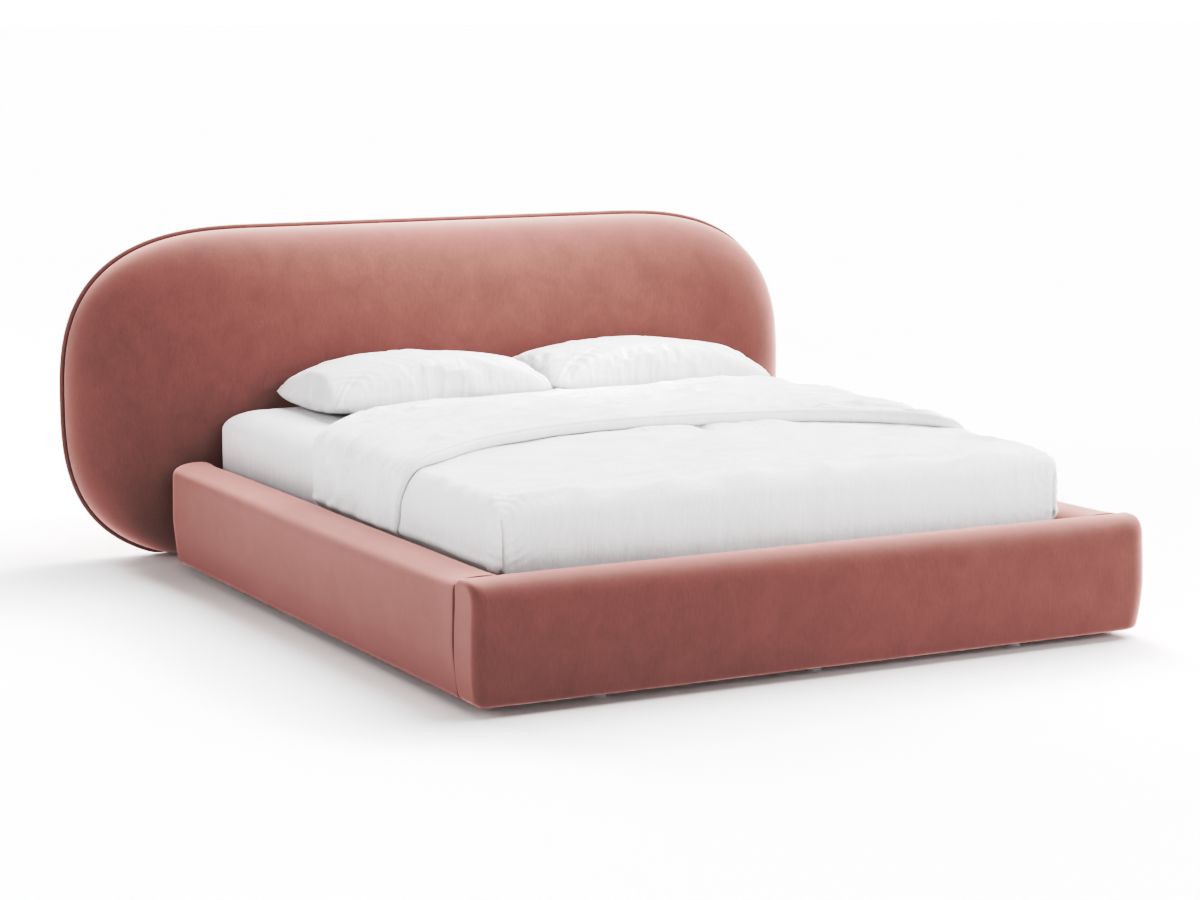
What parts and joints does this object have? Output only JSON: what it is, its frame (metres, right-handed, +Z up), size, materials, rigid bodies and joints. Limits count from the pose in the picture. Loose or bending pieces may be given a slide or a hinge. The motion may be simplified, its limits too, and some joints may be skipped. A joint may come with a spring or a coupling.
{
  "type": "upholstered bed",
  "caption": "Velvet upholstered bed with a wide pill-shaped padded headboard, low padded rails and footboard, slatted base, mattress, duvet and pillows.",
  "frame": {"origin": "on the floor, under the middle of the whole bed", "axes": "+X across the bed, towards its left-hand side as a sleeper lies; +Y from the foot to the headboard; +Z up"},
  "size_m": [2.4108, 2.3443, 0.9728],
  "materials": {
    "velvet": "soft velvet, dusty rose",
    "piping": "velvet-covered cord, darker rose",
    "foam": "upholstery foam",
    "board": "plywood and hardboard",
    "timber": "planed softwood",
    "slat": "lacquered birch",
    "bracket": "black powder coat",
    "zinc": "zinc-plated steel",
    "plastic": "moulded plastic, matt",
    "ticking": "woven ticking",
    "sheet": "washed cotton, white",
    "duvet": "washed cotton, white",
    "pillow": "washed cotton, white"
  },
  "bodies": {
    "bed_frame": {"beam_hangers": "bracket", "bracket_bolts": "zinc", "centre_beam": "timber", "centre_leg_glides": "plastic", "centre_legs": "bracket", "corner_brackets": "bracket", "footboard_core": "timber", "footboard_cover": "velvet", "footboard_feet": "plastic", "footboard_foam": "foam", "hanger_screws": "zinc", "head_rail": "timber", "headboard_back_board": "board", "headboard_back_cover": "velvet", "headboard_bolts": "zinc", "headboard_cover": "velvet", "headboard_face_board": "board", "headboard_foam": "foam", "headboard_frame": "timber", "headboard_glides": "plastic", "headboard_inserts": "zinc", "headboard_piping": "piping", "headboard_spacers": "timber", "ledge_screws": "zinc", "rail_core_left": "timber", "rail_core_right": "timber", "rail_cover_left": "velvet", "rail_cover_right": "velvet", "rail_feet": "plastic", "rail_foam_left": "foam", "rail_foam_right": "foam", "slat_holders_centre": "plastic", "slat_holders_left": "plastic", "slat_holders_right": "plastic", "slat_ledge_left": "timber", "slat_ledge_right": "timber", "slats_left": "slat", "slats_right": "slat"},
    "mattress_set": {"mattress": "ticking", "fitted_sheet": "sheet"},
    "duvet_body": {"duvet": "duvet"},
    "pillow_left_body": {"pillow_left": "pillow"},
    "pillow_right_body": {"pillow_right": "pillow"}
  },
  "joints": [
    {"name": "mattress_lift", "type": "slide", "parent": "bed_frame", "child": "mattress_set", "axis": [0, 0, 1], "range_m": [0, 0.35]},
    {"name": "duvet_lift", "type": "slide", "parent": "mattress_set", "child": "duvet_body", "axis": [0, 0, 1], "range_m": [0, 0.3]},
    {"name": "pillow_left_lift", "type": "slide", "parent": "mattress_set", "child": "pillow_left_body", "axis": [0, 0, 1], "range_m": [0, 0.25]},
    {"name": "pillow_right_lift", "type": "slide", "parent": "mattress_set", "child": "pillow_right_body", "axis": [0, 0, 1], "range_m": [0, 0.25]}
  ]
}
